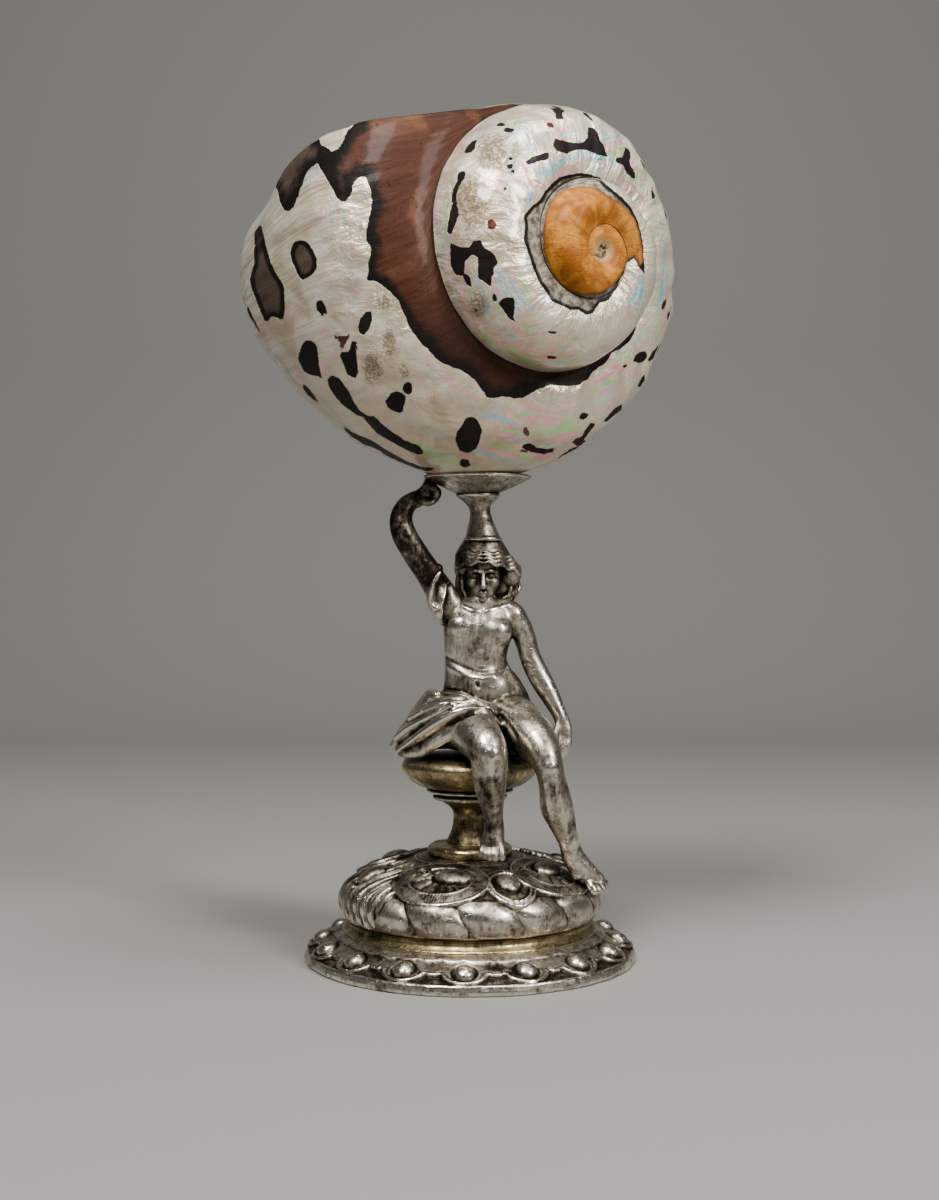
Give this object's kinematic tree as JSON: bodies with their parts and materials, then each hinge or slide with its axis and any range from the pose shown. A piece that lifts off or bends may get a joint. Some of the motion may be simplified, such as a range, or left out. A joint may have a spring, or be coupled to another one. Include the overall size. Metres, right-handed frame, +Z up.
{
  "type": "mounted seashell cup",
  "caption": "Polished turban shell with an open mouth, resting in a small dish carried by a seated draped silver figure on a turned stem and a domed, chased round foot.",
  "frame": {"origin": "middle of the foot's flat underside", "axes": "+Z up the stem; -Y towards the side that the figure and the shell's spire face; +X to that viewer's right"},
  "size_m": [0.1029, 0.0857, 0.1971],
  "materials": {
    "nacre": "polished mother of pearl with brown and black outer-layer patches",
    "silver": "worn cast silver with dark patina in the recesses",
    "gilt": "silver with worn gilding"
  },
  "bodies": {
    "root": {"shell": "nacre", "dish": "silver", "neck": "silver", "figure": "silver", "seat_knop": "gilt", "knop_upper_ring": "silver", "knop_lower_ring": "silver", "stem": "gilt", "stem_collar": "gilt", "foot_dome": "silver", "foot_ring": "gilt", "foot_flange": "silver"}
  },
  "joints": []
}
